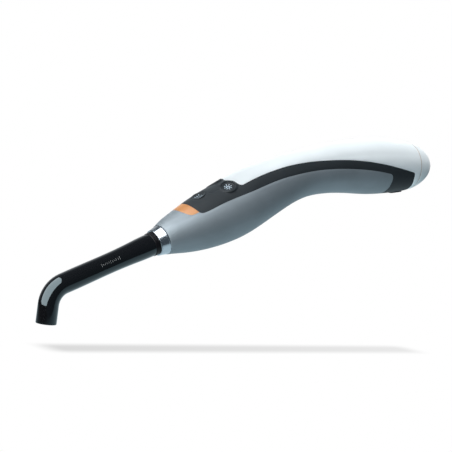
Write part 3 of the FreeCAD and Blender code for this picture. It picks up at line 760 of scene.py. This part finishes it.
class IconsOperator(bpy.types.Operator):
    """Printed icons on the start key and the two mode keys"""

    bl_idname = "curing_light.icons"
    bl_label = "Key icons"

    def execute(self, context):
        ink = moulded("icon_print", context.scene.curing_light_colours.icon, 0.5, grain=0.03)
        for node, press_joint, body, name, strokes, size in (
            ("start_button", "start_press", "start_key", "start_icon",
             burst_strokes, START_ICON_SIZE),
            ("left_mode_button", "left_mode_press", "left_mode_key", "left_mode_icon",
             sun_strokes, MODE_ICON_SIZE),
            ("right_mode_button", "right_mode_press", "right_mode_key", "right_mode_icon",
             sun_strokes, MODE_ICON_SIZE),
        ):
            centre, normal, ahead = key_top(node, press_joint)
            icon = join(strokes(size))
            aim_piece(icon, centre + normal * 0.5 * MM, normal, ahead)
            print_on(icon, node, ICON_THICKNESS)
            settle(icon, name, ink, body)
        return {"FINISHED"}


class TicksOperator(bpy.types.Operator):
    """Pale graduation marks on the flank of the light guide"""

    bl_idname = "curing_light.ticks"
    bl_label = "Guide marks"

    def execute(self, context):
        side = Vector((0, -1, 0))
        out = (side * math.sin(TICK_ANGLE) + GUIDE_UP * math.cos(TICK_ANGLE)).normalized()
        strokes = []
        for number in range(TICK_COUNT):
            height = LONG_TICK_HEIGHT if number % 5 == 0 else TICK_HEIGHT
            place = (number - (TICK_COUNT - 1) / 2) * TICK_STEP
            strokes.append(bar(0, place, height, TICK_WIDTH))
        ticks = join(strokes)
        axis_point = CORNER + GUIDE_AXIS * TICK_PLACE
        aim_piece(ticks, axis_point + out * 6 * MM, out, GUIDE_AXIS)
        print_on(ticks, "light_guide", TICK_THICKNESS)
        ink = moulded("guide_print", (0.30, 0.31, 0.31), 0.5, grain=0.03)
        settle(ticks, "guide_marks", ink, "guide")
        return {"FINISHED"}


class InnerPartsOperator(bpy.types.Operator):
    """Finishes of the parts inside the handle and of the battery pack"""

    bl_idname = "curing_light.inner_parts"
    bl_label = "Inner parts"

    def execute(self, context):
        steel = moulded("turned_steel", (0.50, 0.50, 0.51), 0.28, grain=0.05, metallic=1.0)
        aluminium = moulded("turned_aluminium", (0.72, 0.73, 0.74), 0.32, grain=0.06, metallic=1.0)
        mirror = moulded("mirror_cone", (0.85, 0.86, 0.87), 0.06, grain=0.0, metallic=1.0, spread=0.03)
        gold = moulded("gold_plating", (0.80, 0.56, 0.22), 0.22, grain=0.03, metallic=1.0)
        black = moulded("inner_black", (0.03, 0.03, 0.032), 0.5, grain=0.15)
        grey = moulded("chassis_grey", (0.12, 0.13, 0.14), 0.55, grain=0.15)
        board = moulded("circuit_board", (0.02, 0.14, 0.06), 0.32, grain=0.08, variation=0.15)
        film = moulded("flex_film", (0.42, 0.19, 0.04), 0.25, grain=0.04, variation=0.1)
        resin = moulded("chip_resin", (0.03, 0.03, 0.033), 0.55, grain=0.15)
        phosphor = moulded("led_phosphor", (0.55, 0.65, 0.9), 0.2, grain=0.02)
        rubber = moulded("o_ring_rubber", (0.02, 0.02, 0.02), 0.6, grain=0.1)
        wrap = moulded("cell_wrap", (0.03, 0.15, 0.38), 0.22, grain=0.03)
        for material, nodes in (
            (steel, ("guide_ferrule", "snap_ring", "tact_switches", "board_screws")),
            (aluminium, ("guide_socket", "heat_sink")),
            (mirror, ("collimator",)),
            (gold, ("contact_pins", "battery_pads", "charging_contacts")),
            (black, ("swivel_bush", "contact_block", "cell_carrier", "buzzer")),
            (grey, ("inner_chassis",)),
            (board, ("led_board", "main_board", "battery_board")),
            (film, ("keypad_flex", "led_ribbon")),
            (resin, ("control_chips",)),
            (phosphor, ("led_dies",)),
            (rubber, ("ferrule_o_ring",)),
            (wrap, ("battery_cell",)),
        ):
            for node in nodes:
                dress(node, material)
        return {"FINISHED"}


# ------------------------------------------------------------ panel and build

class CuringLightPanel(bpy.types.Panel):
    """Buttons and settings of the curing light"""

    bl_idname = "VIEW3D_PT_curing_light"
    bl_label = "Curing light"
    bl_space_type = "VIEW_3D"
    bl_region_type = "UI"
    bl_category = "Curing light"

    def draw(self, context):
        layout = self.layout
        for operator in BUILD_ORDER:
            layout.operator(operator.bl_idname)
        for settings in (context.scene.curing_light_studio, context.scene.curing_light_colours):
            box = layout.box()
            for name in settings.__annotations__:
                box.prop(settings, name)


BUILD_ORDER = (
    StudioOperator, ShellsOperator, EdgesOperator, GuideOperator, RingOperator, IconsOperator, TicksOperator,
    InnerPartsOperator)
CLASSES = (CuringLightStudio, CuringLightColours, *BUILD_ORDER, CuringLightPanel)


def register():
    """Add the settings, operators and panel to Blender."""
    for entry in CLASSES:
        bpy.utils.register_class(entry)
    bpy.types.Scene.curing_light_studio = bpy.props.PointerProperty(type=CuringLightStudio)
    bpy.types.Scene.curing_light_colours = bpy.props.PointerProperty(type=CuringLightColours)


def unregister():
    """Take them out again."""
    del bpy.types.Scene.curing_light_colours
    del bpy.types.Scene.curing_light_studio
    for entry in reversed(CLASSES):
        bpy.utils.unregister_class(entry)


def main():
    """Build the whole scene."""
    register()
    bpy.ops.curing_light.studio()
    bpy.ops.curing_light.shells()
    bpy.ops.curing_light.edges()
    bpy.ops.curing_light.guide()
    bpy.ops.curing_light.ring()
    bpy.ops.curing_light.icons()
    bpy.ops.curing_light.ticks()
    bpy.ops.curing_light.inner_parts()


if __name__ == "__main__":
    main()
